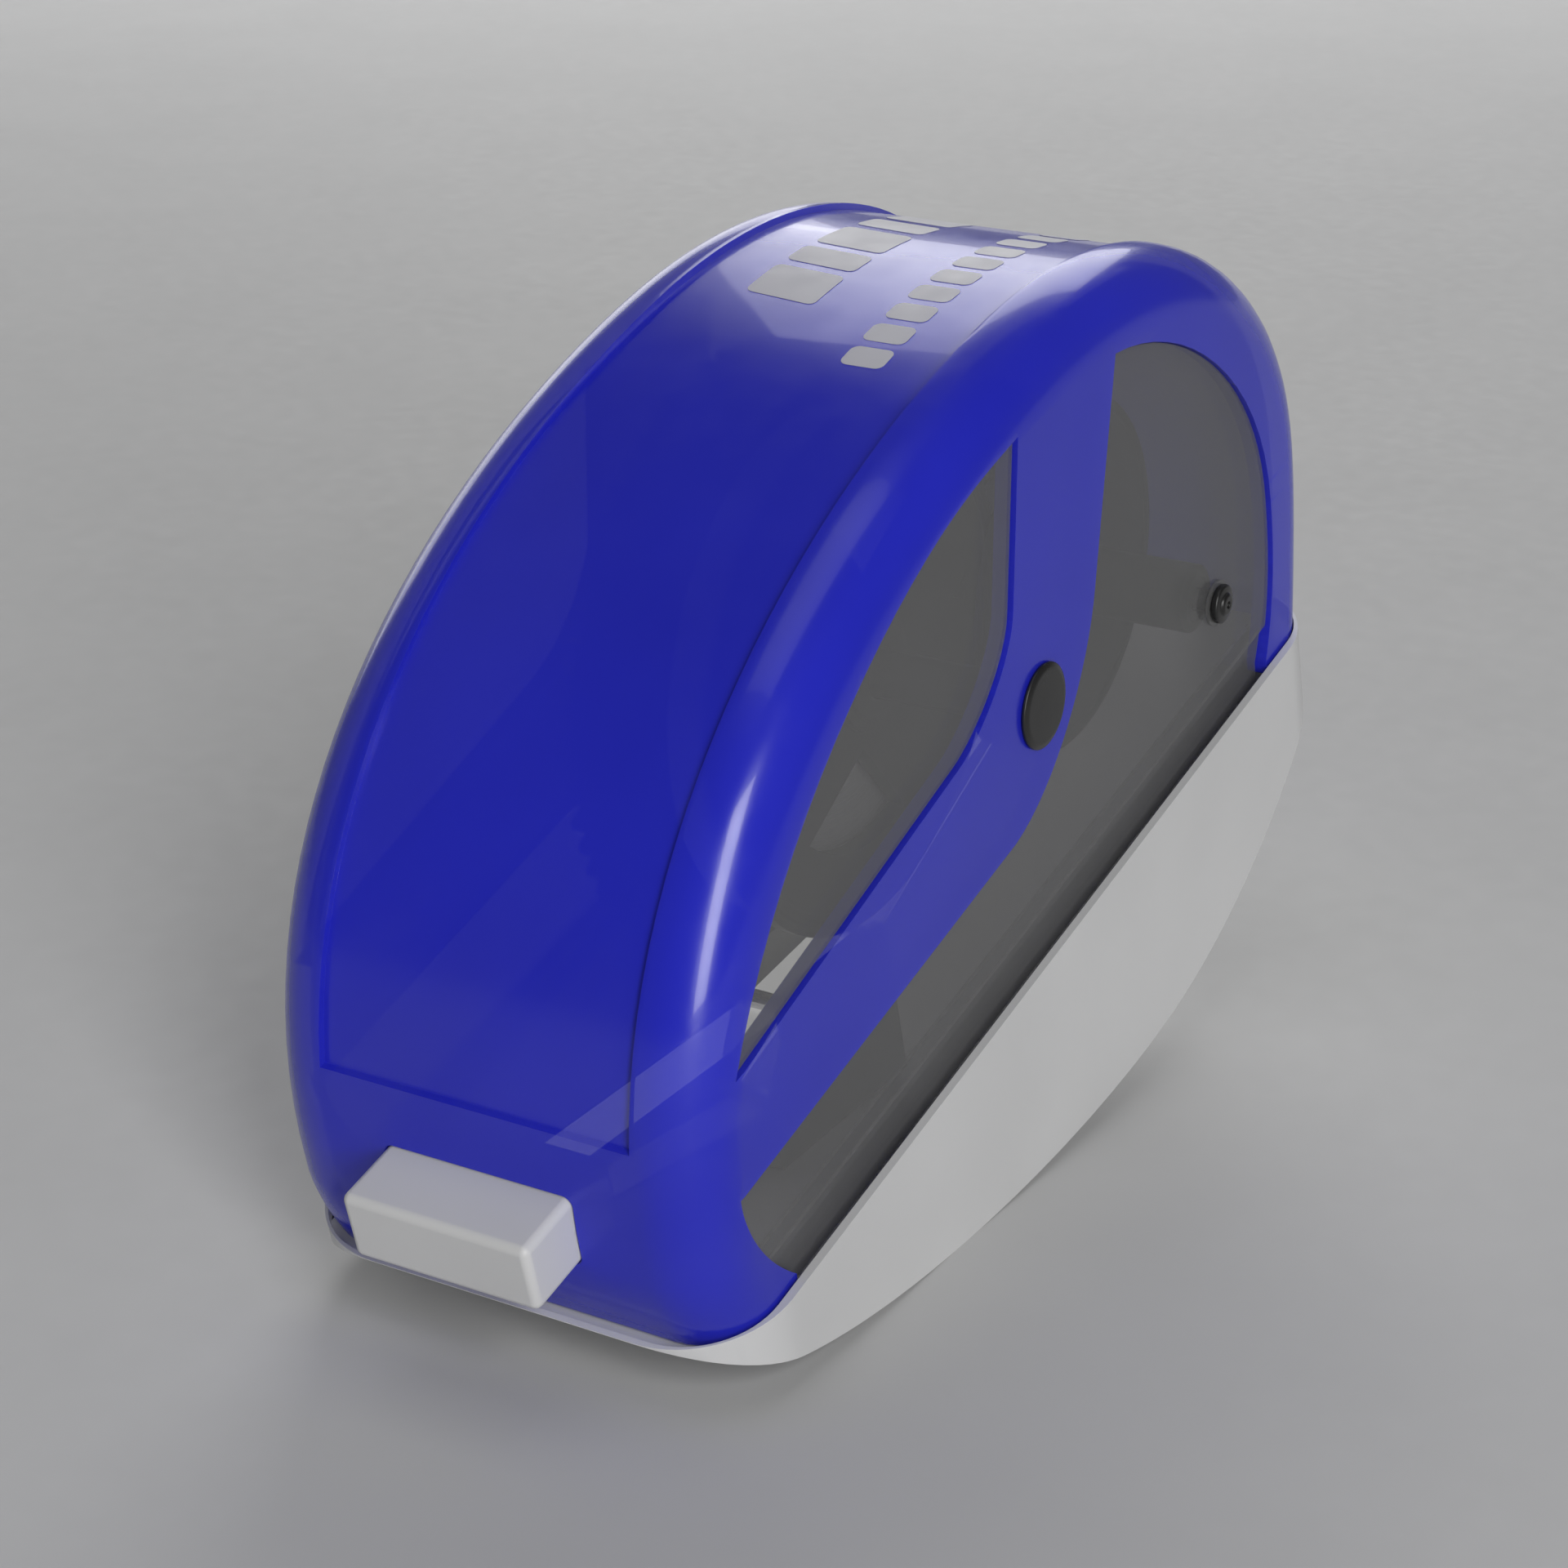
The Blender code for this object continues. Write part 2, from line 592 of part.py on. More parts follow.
def tape_guide():
    """A bracket on the base floor: two cheeks that hold the three guide pins."""
    outline = [(-9.8, -5.2), (-9.6, -3.6), (-7.2, -1.0), (-7.2, 1.0), (-6.6, 1.6), (-5.0, 1.6),
               (1.4, 0.35), (3.0, -0.4), (3.0, -10.3), (-9.8, -7.3)]
    bracket = slab("tape_guide", straight(outline), 0.0, 2.6, GREY)
    modify(bracket, box("guide_slot", (-15, -1.9, -6.0), (15, 1.9, 10)))
    pins = (("guide_pin_rear", PIN_REAR), ("guide_pin_front", PIN_FRONT), ("return_pin", PIN_RETURN))
    for name, spot in pins:
        modify(bracket, rod(name + "_bore", spot, GUIDE_PIN_R + 0.05, -5, 5, None, 16))
        rod(name, spot, GUIDE_PIN_R, -2.55, 2.55, STEEL, 16)


# ---------------------------------------------------------------- assembly
def lean_on_base():
    """Lean the whole roller forward, with its lowest point at Z = 0 and centred along X."""
    LEANING.rotation_euler = (0.0, -math.radians(LEAN_DEG), 0.0)
    graph = bpy.context.evaluated_depsgraph_get()
    spots = [obj.matrix_world @ vert.co
             for obj in PARTS.objects if obj.type == 'MESH'
             for vert in obj.evaluated_get(graph).data.vertices]
    LEANING.location.x = -(min(p.x for p in spots) + max(p.x for p in spots)) / 2
    LEANING.location.z = -min(p.z for p in spots)


dome()
base()
windows()
head()
takeup_reel(supply_reel())
takeup_post()
bridge_plate()
tape_guide()
tape_strip()
lean_on_base()
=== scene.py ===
"""Looks of the correction tape roller: fine shapes, materials, light and camera.

Shapes are drawn in the roller's own frame (X along the split line from the tape tip
to the back, Y across, Z up, in millimetres). ROLLER sets that frame in the row frame,
where the roller leans forward on its curved base.
"""
import json
import math

import bmesh
import bpy
from mathutils import Matrix, Quaternion, Vector


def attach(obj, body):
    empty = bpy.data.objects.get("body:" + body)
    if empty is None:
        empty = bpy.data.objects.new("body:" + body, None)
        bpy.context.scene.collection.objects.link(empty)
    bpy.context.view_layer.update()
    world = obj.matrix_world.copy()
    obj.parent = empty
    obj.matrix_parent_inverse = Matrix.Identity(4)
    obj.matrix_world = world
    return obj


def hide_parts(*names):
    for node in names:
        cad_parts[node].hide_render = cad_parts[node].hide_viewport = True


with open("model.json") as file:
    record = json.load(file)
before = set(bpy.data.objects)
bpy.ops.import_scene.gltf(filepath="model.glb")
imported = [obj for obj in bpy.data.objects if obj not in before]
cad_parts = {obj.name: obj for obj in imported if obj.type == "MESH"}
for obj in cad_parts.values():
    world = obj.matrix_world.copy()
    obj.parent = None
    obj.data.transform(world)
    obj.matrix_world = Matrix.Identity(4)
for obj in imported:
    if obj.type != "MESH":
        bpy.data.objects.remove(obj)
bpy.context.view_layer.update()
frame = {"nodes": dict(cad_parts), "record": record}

MM = 0.001
SAME_SPOT = 0.000001  # metres; points nearer than this are one point
ARC_HANDLE = 0.5523  # length of the handles that bend a quarter circle, over its radius

# Driving dimensions, from the CAD. The outlines and the head stand one to three hundredths
# inside the CAD's, and the rear windows run a little lower, behind the rim of the base.
DOME_HALF = 12.5
DOME_ROUND = 3.5
DOME_WALL = 1.2

# The recessed band over the casing, and the thin printed bars on its floor
PANEL_HALF = 8.7
PANEL_DEEP = 0.4
PANEL_FOOT = 11.5
MARK_STEP = 0.4
MARK_HALF = 0.012
MARK_LIFT = 0.015

# The base, and the ledge in its rim that the casing stands on
BASE_HALF = 13.1
BASE_WALL = 1.0
BASE_FRONT = -30.25
BASE_BACK = 38.2
BASE_CORNER = 5.5
RIM_TOP = 0.6
RIM_LEDGE = -0.2
RIM_HALF = 12.65
RIM_EDGE = 0.35
RIM_CORNER = 4.5

# The panes, and the step near the lower edge of the rear ones
WINDOW_SILL = -0.5
WINDOW_FACE = 12.25
WINDOW_THICK = 0.8
WINDOW_GAP = 0.12
LIP_TOP = 2.8
LIP_STEP = 0.3
LIP_RUN = 0.12
LIP_LEAN = 0.04

# Axle, post and head; the head's corners are its lowest and highest
AXLE = (5.12, 14.53)
AXLE_R = 1.3
POST_R = 1.2
BUTTON_R = 2.27
HEAD = ((-33.44, -5.25, 4.45), (-26.8, 5.25, 8.25))
HEAD_ROUND = 0.45
HEAD_GAP = 0.1

# Camera and its aim, in the roller's frame
CAMERA_SPOT = (-123.88, -88.42, 115.36)
CAMERA_AIM = (-0.38, 0.0, 10.47)
CAMERA_LENS = 82.46

# Where the roller's frame lies in the row frame, from the CAD's own axes
JOINT_AT = {joint["name"]: Vector(joint["pos_m"])
            for joint in frame["record"]["behaviour"]["joints"]}
tip_normal = next(m["axis"] for m in frame["record"]["mounts"] if m["name"] == "tip_face")
LEAN = math.atan2(-tip_normal[2], -tip_normal[0])
TURN = Matrix.Rotation(-LEAN, 4, 'Y')
AXLE_SPOT = Vector((AXLE[0], 0.0, AXLE[1])) * MM
ROLLER = Matrix.Translation(JOINT_AT["supply_spin"] - TURN @ AXLE_SPOT) @ TURN


def in_roller(point):
    """(x, z) in the roller's frame, in millimetres, of a point of the row frame."""
    local = ROLLER.inverted() @ point / MM
    return (local.x, local.z)


POST = in_roller(JOINT_AT["takeup_spin"])
TIP = in_roller(JOINT_AT["tip_roller_spin"])


# ---------------------------------------------------------------- node helpers
class Paint:
    """A Principled material and short calls for the nodes that drive it."""

    def __init__(self, name, roughness=0.4, metallic=0.0, alpha=1.0, coat=0.0):
        self.material = bpy.data.materials.new(name)
        self.material.use_nodes = True
        self.nodes = self.material.node_tree.nodes
        self.links = self.material.node_tree.links
        self.shader = self.nodes["Principled BSDF"]
        self.shader.inputs["Roughness"].default_value = roughness
        self.shader.inputs["Metallic"].default_value = metallic
        self.shader.inputs["Alpha"].default_value = alpha
        self.shader.inputs["Coat Weight"].default_value = coat
        self.place = self.nodes.new("ShaderNodeTexCoord").outputs["Object"]

    def noise(self, scale, detail, stretch=(1.0, 1.0, 1.0)):
        """Noise over the object, with its scale in cells per millimetre."""
        mapping = self.nodes.new("ShaderNodeMapping")
        mapping.inputs["Scale"].default_value = [s / MM for s in stretch]
        self.links.new(self.place, mapping.inputs["Vector"])
        noise = self.nodes.new("ShaderNodeTexNoise")
        noise.inputs["Scale"].default_value = scale
        noise.inputs["Detail"].default_value = detail
        self.links.new(mapping.outputs["Vector"], noise.inputs["Vector"])
        return noise.outputs["Fac"]

    def ramp(self, value, low, high):
        """Map 0.3 to 0.7 of a noise to the range from low to high, numbers or colours."""
        ramp = self.nodes.new("ShaderNodeValToRGB")
        for element, spot, tone in zip(ramp.color_ramp.elements, (0.3, 0.7), (low, high)):
            element.position = spot
            element.color = (*tone, 1.0) if isinstance(tone, tuple) else (tone,) * 3 + (1.0,)
        self.links.new(value, ramp.inputs["Fac"])
        return ramp.outputs["Color"]

    def drive(self, socket, output):
        """Let a node's output set one of the shader's sockets."""
        self.links.new(output, self.shader.inputs[socket])

    def bump(self, height, strength, depth):
        """Raise the surface by a height map, to a depth in millimetres."""
        bump = self.nodes.new("ShaderNodeBump")
        bump.inputs["Strength"].default_value = strength
        bump.inputs["Distance"].default_value = depth * MM
        self.links.new(height, bump.inputs["Height"])
        self.links.new(bump.outputs["Normal"], self.shader.inputs["Normal"])


def plastic(name, dark, light, rough, grain, alpha=1.0, coat=0.0, bump_depth=0.004):
    """Moulded plastic: faint tone drift, uneven polish and a fine surface grain."""
    paint = Paint(name, roughness=rough[0], alpha=alpha, coat=coat)
    paint.drive("Base Color", paint.ramp(paint.noise(0.06, 2.0), dark, light))
    paint.drive("Roughness", paint.ramp(paint.noise(0.5, 4.0), *rough))
    paint.bump(paint.noise(grain, 2.0), 0.25, bump_depth)
    return paint.material


def glowing(material, colour, strength):
    """Give a material a weak light of its own."""
    sockets = material.node_tree.nodes["Principled BSDF"].inputs
    sockets["Emission Color"].default_value = (*colour, 1.0)
    sockets["Emission Strength"].default_value = strength
    return material


BLUE = plastic("blue_casing", (0.019, 0.025, 0.62), (0.024, 0.031, 0.7), (0.2, 0.27), 6.0,
               alpha=0.77, coat=0.3)
WHITE = plastic("white_shell", (0.66, 0.66, 0.66), (0.72, 0.72, 0.72), (0.36, 0.44), 8.0)
SMOKE = plastic("smoked_pane", (0.18, 0.18, 0.18), (0.195, 0.195, 0.198), (0.1, 0.16), 5.0,
                alpha=0.45, bump_depth=0.001)
BLACK = plastic("black_plastic", (0.012, 0.012, 0.012), (0.02, 0.02, 0.02), (0.26, 0.36), 8.0)
GREY = plastic("grey_plastic", (0.035, 0.035, 0.034), (0.045, 0.045, 0.044), (0.4, 0.5), 8.0)
TAPE = plastic("white_tape", (0.78, 0.78, 0.76), (0.86, 0.86, 0.84), (0.55, 0.7), 12.0)
# The free run of tape glows with painted light, which stands in for the light that reaches the
# tape through the blue casing.
GLOWING_FREE_TAPE = glowing(plastic("free_tape_painted_glow", (0.8, 0.8, 0.78), (0.86, 0.86, 0.84), (0.55, 0.7), 12.0),
                    (1.0, 1.0, 0.97), 0.65)
PAPER = plastic("paper_backing", (0.62, 0.6, 0.54), (0.72, 0.7, 0.64), (0.6, 0.75), 12.0)
PRINT = plastic("panel_print", (0.5, 0.5, 0.56), (0.56, 0.56, 0.62), (0.4, 0.5), 10.0)


def steel():
    """Drawn steel: fine scratches along the pin."""
    paint = Paint("steel", metallic=1.0)
    streaks = paint.noise(6.0, 3.0, (1.0, 0.1, 1.0))
    paint.drive("Base Color", paint.ramp(streaks, (0.5, 0.5, 0.52), (0.66, 0.66, 0.68)))
    paint.drive("Roughness", paint.ramp(streaks, 0.22, 0.38))
    paint.bump(streaks, 0.2, 0.003)
    return paint.material


def felt():
    """Pressed felt: coarse dark fibres."""
    paint = Paint("clutch_felt")
    fibres = paint.noise(9.0, 6.0, (1.0, 3.0, 1.0))
    paint.drive("Base Color", paint.ramp(fibres, (0.03, 0.03, 0.035), (0.09, 0.09, 0.1)))
    paint.drive("Roughness", paint.ramp(fibres, 0.85, 1.0))
    paint.bump(fibres, 0.6, 0.05)
    return paint.material


STEEL = steel()
FELT = felt()


# ---------------------------------------------------------------- shape helpers
CUTTERS = []  # objects that Booleans use, until carved() drops them


def finish_piece(obj, mat, body, slot, *nodes):
    """Place a piece in the row frame, on its body, in place of its CAD nodes."""
    obj.data.materials.clear()
    obj.data.materials.append(mat)
    obj.data.transform(ROLLER @ obj.matrix_world)
    obj.matrix_world = Matrix.Identity(4)
    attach(obj, body)
    if nodes:
        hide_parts(*nodes)


def new_object(name, data):
    """An object in the scene from a mesh, a curve, a light or a camera."""
    obj = bpy.data.objects.new(name, data)
    bpy.context.scene.collection.objects.link(obj)
    return obj


def baked(obj):
    """Apply an object's modifiers and its own placement to its mesh."""
    graph = bpy.context.evaluated_depsgraph_get()
    mesh = bpy.data.meshes.new_from_object(obj.evaluated_get(graph))
    mesh.transform(obj.matrix_world)
    mesh.name = obj.name
    name = obj.name
    bpy.data.objects.remove(obj, do_unlink=True)
    return new_object(name, mesh)


def shade(obj, angle_deg=35.0):
    """Smooth shading, but for edges sharper than angle_deg."""
    obj.data.shade_smooth()
    obj.data.set_sharp_from_angle(angle=math.radians(angle_deg))
    return obj


def box(name, low, high):
    """A block from its lowest to its highest corner."""
    mesh = bpy.data.meshes.new(name)
    bm = bmesh.new()
    bmesh.ops.create_cube(bm, size=1.0)
    bmesh.ops.scale(bm, vec=[(b - a) * MM for a, b in zip(low, high)], verts=bm.verts)
    bmesh.ops.translate(bm, vec=[(a + b) / 2 * MM for a, b in zip(low, high)], verts=bm.verts)
    bm.to_mesh(mesh)
    bm.free()
    return new_object(name, mesh)


def rounded(points, radius):
    """Round every corner of a profile, but not its two ends."""
    steps = 4
    most = 0.45  # of a side's length that one corner may take
    out = [points[0]]
    for before, corner, after in zip(points, points[1:], points[2:]):
        here = Vector(corner)
        to_before = Vector(before) - here
        to_after = Vector(after) - here
        reach = min(radius, to_before.length * most, to_after.length * most)
        start = here + to_before.normalized() * reach
        end = here + to_after.normalized() * reach
        for i in range(steps + 1):
            t = i / steps
            out.append(tuple(start * (1 - t) ** 2 + here * 2 * t * (1 - t) + end * t ** 2))
    return out + [points[-1]]


def turned(name, axis, profile, radius=0.12, steps=96):
    """A piece turned about a line along Y, from (radius, y) points with rounded corners.

    The profile closes on itself, unless both its ends are on the axis.
    """
    closed = profile[0][0] > 0
    if closed:
        middle = tuple((Vector(profile[0]) + Vector(profile[-1])) / 2)
        profile = [middle, *profile, middle]
    points = rounded(profile, radius)
    if closed:
        points.pop()
    mesh = bpy.data.meshes.new(name)
    verts = [(r * MM, 0.0, y * MM) for r, y in points]
    edges = [(i, i + 1) for i in range(len(verts) - 1)]
    if closed:
        edges.append((len(verts) - 1, 0))
    mesh.from_pydata(verts, edges, [])
    obj = new_object(name, mesh)
    screw = obj.modifiers.new("turn", 'SCREW')
    screw.steps = steps
    screw.render_steps = steps
    screw.use_merge_vertices = True
    screw.merge_threshold = SAME_SPOT
    obj.matrix_world = (Matrix.Translation((axis[0] * MM, 0.0, axis[1] * MM))
                        @ Matrix.Rotation(-math.pi / 2, 4, 'X'))
    bpy.context.view_layer.update()
    return shade(baked(obj), 40.0)


def bezier_ring(curve, anchors, resolution):
    """Add a closed spline from (x, z, handle in, handle out) anchors, handles relative."""
    spline = curve.splines.new('BEZIER')
    spline.bezier_points.add(len(anchors) - 1)
    spline.use_cyclic_u = True
    spline.resolution_u = resolution
    for point, (x, z, before, after) in zip(spline.bezier_points, anchors):
        point.co = (x * MM, z * MM, 0.0)
        for side, handle in (("left", before), ("right", after)):
            kind = 'VECTOR' if handle is None else 'FREE'
            setattr(point, f"handle_{side}_type", kind)
            if handle is not None:
                spot = ((x + handle[0]) * MM, (z + handle[1]) * MM, 0.0)
                setattr(point, f"handle_{side}", spot)


def poly_ring(curve, points):
    """Add a closed spline with straight sides."""
    spline = curve.splines.new('POLY')
    spline.points.add(len(points) - 1)
    spline.use_cyclic_u = True
    for point, (x, z) in zip(spline.points, points):
        point.co = (x * MM, z * MM, 0.0, 1.0)


def flat_curve(name, half_thick, rounding=0.0):
    """A filled flat curve of some thickness, with rounded rims."""
    curve = bpy.data.curves.new(name, 'CURVE')
    curve.dimensions = '2D'
    curve.fill_mode = 'BOTH'
    curve.extrude = (half_thick - rounding) * MM
    curve.bevel_depth = rounding * MM
    curve.bevel_resolution = 8
    curve.offset = -rounding * MM
    return curve


def solid_from_curve(name, curve, middle, across=True):
    """A closed mesh from a flat curve: upright in XZ at y = middle, or flat at z = middle."""
    obj = new_object(name, curve)
    if across:
        obj.matrix_world = (Matrix.Translation((0.0, middle * MM, 0.0))
                            @ Matrix.Rotation(math.pi / 2, 4, 'X'))
    else:
        obj.location.z = middle * MM
    bpy.context.view_layer.update()
    obj = baked(obj)
    bpy.data.curves.remove(curve)
    bm = bmesh.new()
    bm.from_mesh(obj.data)
    bmesh.ops.remove_doubles(bm, verts=bm.verts, dist=SAME_SPOT)
    bmesh.ops.recalc_face_normals(bm, faces=bm.faces)
    bm.to_mesh(obj.data)
    bm.free()
    return obj


def slab(name, anchors, middle, half_thick, resolution, rounding=0.0, across=True):
    """A slab with a curved outline, upright along XZ or flat like a floor."""
    curve = flat_curve(name, half_thick, rounding)
    bezier_ring(curve, anchors, resolution)
    return solid_from_curve(name, curve, middle, across)


def boolean(obj, cutter, operation='DIFFERENCE'):
    """Cut an object by another, or join or intersect them; carved() removes the other later."""
    change = obj.modifiers.new(operation.lower(), 'BOOLEAN')
    change.operation = operation
    change.solver = 'EXACT'
    change.object = cutter
    cutter.hide_render = True
    CUTTERS.append(cutter)


def carved(obj):
    """Bake an object's Booleans, drop their cutters and weld what nearly meets."""
    bpy.context.view_layer.update()
    obj = baked(obj)
    while CUTTERS:
        bpy.data.objects.remove(CUTTERS.pop(), do_unlink=True)
    bm = bmesh.new()
    bm.from_mesh(obj.data)
    bmesh.ops.remove_doubles(bm, verts=bm.verts, dist=SAME_SPOT * 4)
    bmesh.ops.dissolve_degenerate(bm, edges=bm.edges, dist=SAME_SPOT)
    bm.to_mesh(obj.data)
    bm.free()
    return obj


def round_edges(obj, width, segments, angle_deg=30.0):
    """Bevel the edges that turn by more than angle_deg."""
    bevel = obj.modifiers.new("soft_edges", 'BEVEL')
    bevel.width = width * MM
    bevel.segments = segments
    bevel.limit_method = 'ANGLE'
    bevel.angle_limit = math.radians(angle_deg)
    return bevel


def keep_flat(obj, angle_deg):
    """Smooth shading that leaves the flat faces flat."""
    shade(obj, angle_deg)
    weigh = obj.modifiers.new("flat_normals", 'WEIGHTED_NORMAL')
    weigh.keep_sharp = True
    return obj


def soften(obj, width, segments, angle_deg=40.0):
    """Round the edges and keep the flat faces flat in the shading."""
    round_edges(obj, width, segments, angle_deg).miter_outer = 'MITER_ARC'
    return keep_flat(baked(obj), 50.0)


# ---------------------------------------------------------------- outlines
def dome_outline(inset=0.0, foot=-4.0):
    """The casing's side view: a long front slope, a round crown and a full back."""
    back = 38.72 - inset
    crown = 32.98 - inset
    front = -29.9 + inset
    return [
        (36.4 - inset, foot, None, (0.7, 4.0)),
        (back, 11.7, (0.0, -4.5), (0.0, 13.0 - inset * 0.3)),
        (9.4, crown, (15.6 - inset * 0.3, 0.0), (-19.4 + inset * 0.3, 0.0)),
        (front, 4.5, (0.0, 20.5 - inset * 0.3), (0.0, -3.0)),
        (-27.6 + inset, foot, (-0.6, 3.0), None),
    ]


def crescent_outline(inset=0.0, top=RIM_TOP):
    """The base's side view: a straight top and one long curve below it."""
    return [
        (BASE_BACK - inset, top, None, (-1.0, -5.6)),
        (13.5, -12.44 + inset, (12.5, 0.0), (-14.0, 0.0)),
        (-30.3 + inset * 1.7, top, (7.9, -7.2), None),
    ]


def rounded_plan(front, back, half, radius):
    """A rounded rectangle seen from above."""
    bend = radius * ARC_HANDLE
    flat = half - radius
    return [
        (back, -flat, (0.0, -bend), None),
        (back, flat, None, (0.0, bend)),
        (back - radius, half, (bend, 0.0), None),
        (front + radius, half, None, (-bend, 0.0)),
        (front, flat, (0.0, bend), None),
        (front, -flat, None, (0.0, -bend)),
        (front + radius, -half, (-bend, 0.0), None),
        (back - radius, -half, None, (bend, 0.0)),
    ]


def front_window(shrink=0.0):
    """The front window: a blade with its point low at the front."""
    s = shrink
    return [
        (-25.2 + 2.2 * s, 13.9 + s, None, (5.0, 8.0)),
        (-2.1 + 0.2 * s, 28.8 - s, (-8.5, -1.8), (3.0, 0.6)),
        (5.9 - s, 29.6 - s * 1.2, (-3.0, -0.1), None),
        (3.5 - s, 21.1, None, (-0.6, -2.3)),
        (-3.2 - 0.3 * s, 16.3 + s, (2.4, 0.35), None),
    ]


def rear_window(shrink=0.0, sill=WINDOW_SILL):
    """The rear window: it runs under the band and up behind it, and down to its sill."""
    s = shrink
    return [
        (16.4 + s * 0.8, 28.5 - s * 1.3, None, (7.5, -1.8)),
        (32.8 - s, 10.3, (0.2, 8.5), (0.0, -4.0)),
        (30.7 - s, 0.75, (1.4, 2.9), None),
        (30.7 - s, sill, None, None),
        (-23.4 + s, sill, None, None),
        (-23.4 + s, 0.75, None, (-2.0, 2.2)),
        (-26.5 + s, 7.9 - s, (-0.2, -2.2), None),
        (1.1 - s * 0.2, 8.7 - s, None, (4.6, 0.5)),
        (11.8 + s * 0.8, 17.3 - s * 0.5, (-1.5, -3.8), None),
    ]


# ---------------------------------------------------------------- casing
def panel_cutter():
    """The recess over the dome: the space outside a slightly smaller dome, in a band."""
    band = box("panel_band", (-45, -PANEL_HALF, PANEL_FOOT), (50, PANEL_HALF, 45))
    boolean(band, slab("panel_core", dome_outline(PANEL_DEEP), 0.0, 15.0, 32))
    return carved(band)


def dome():
    """The blue casing: hollow, recessed over the top, with its windows and holes."""
    recess = panel_cutter()
    shell = slab("casing_shell", dome_outline(), 0.0, DOME_HALF, 32, DOME_ROUND)
    hollow = slab("dome_hollow", dome_outline(DOME_WALL, -6.0), 0.0, DOME_HALF - DOME_WALL, 32,
                  DOME_ROUND - DOME_WALL)
    boolean(shell, hollow)
    boolean(shell, box("dome_trim", (-40, -20, -10), (50, 20, 0)))
    boolean(shell, recess)
    for side in (-1, 1):
        boolean(shell, slab("front_cut", front_window(), side * DOME_HALF, 2.0, 16))
        boolean(shell, slab("rear_cut", rear_window(sill=-1.0), side * DOME_HALF, 2.0, 16))
    bore = AXLE_R + 0.1
    boolean(shell, turned("axle_bore", AXLE, [(0, 20), (bore, 20), (bore, -20), (0, -20)], 0.001))
    low, high = HEAD
    hole = box("head_hole", (-36, low[1] - HEAD_GAP, low[2] - HEAD_GAP),
               (-22, high[1] + HEAD_GAP, high[2] + HEAD_GAP))
    round_edges(hole, HEAD_ROUND + HEAD_GAP, 5)
    boolean(shell, hole)
    boolean(shell, box("return_slot", (-31, -2.5, 2.3), (-27, 2.5, low[2])))
    shell = soften(carved(shell), 0.09, 3)
    finish_piece(shell, BLUE, "casing", "blue_casing", "housing_dome")


def crown_height(x, inset):
    """Height of the dome's crown above the split line at x."""
    _, back, crown, front, _ = dome_outline(inset)
    first, second = (back, crown) if x >= crown[0] else (crown, front)
    ends = [Vector(first[:2]), Vector(first[:2]) + Vector(first[3]),
            Vector(second[:2]) + Vector(second[2]), Vector(second[:2])]
    low, high = 0.0, 1.0
    for _ in range(40):
        t = (low + high) / 2
        weights = ((1 - t) ** 3, 3 * t * (1 - t) ** 2, 3 * t * t * (1 - t), t ** 3)
        spot = sum((w * p for w, p in zip(weights, ends)), Vector((0.0, 0.0)))
        low, high = (t, high) if spot.x > x else (low, t)
    return spot.y


def split_faces(bm, spot, normal):
    """Split the faces that cross a plane, so that the mesh can bend there."""
    bmesh.ops.bisect_plane(bm, geom=bm.verts[:] + bm.edges[:] + bm.faces[:],
                           plane_co=spot, plane_no=normal)


def joined(name, parts):
    """Join separate meshes into one piece."""
    bm = bmesh.new()
    for part in parts:
        bm.from_mesh(part.data)
        bpy.data.objects.remove(part, do_unlink=True)
    mesh = bpy.data.meshes.new(name)
    bm.to_mesh(mesh)
    bm.free()
    return new_object(name, mesh)


def print_mark(name, x_low, x_high, y_low, y_high, slant=0.0):
    """A thin printed bar with round corners that follows the floor of the band."""
    middle = (y_low + y_high) / 2
    plan = rounded_plan(x_low, x_high, (y_high - y_low) / 2, 0.45)
    mark = slab(name, plan, 0.0, MARK_HALF, 5, across=False)
    bm = bmesh.new()
    bm.from_mesh(mark.data)
    x = x_low + MARK_STEP
    while x < x_high:
        split_faces(bm, (x * MM, 0, 0), (1, 0, 0))
        x += MARK_STEP
    for vert in bm.verts:
        vert.co.x += slant * vert.co.y
        vert.co.y += middle * MM
        vert.co.z += crown_height(vert.co.x / MM, PANEL_DEEP - MARK_LIFT) * MM
    bm.to_mesh(mark.data)
    bm.free()
    return mark


def print_rows():
    """Two rows of plain bars over the band: a fine one near its edge and a bold one inside."""
    pitch = 2.3
    fine = [print_mark("fine", 5.4 + pitch * i, 7.1 + pitch * i, -5.6, -3.2) for i in range(10)]
    lengths = (3.4, 2.2, 3.4, 2.2, 2.8)
    gap = 0.7
    starts = [10.4 + sum(lengths[:i]) + gap * i for i in range(len(lengths))]
    bold = [print_mark("bold", start, start + length, 0.9, 5.2, 0.12)
            for start, length in zip(starts, lengths)]
    for name, marks in (("print_fine", fine), ("print_bold", bold)):
        finish_piece(shade(joined(name, marks)), PRINT, "casing", "blue_casing")


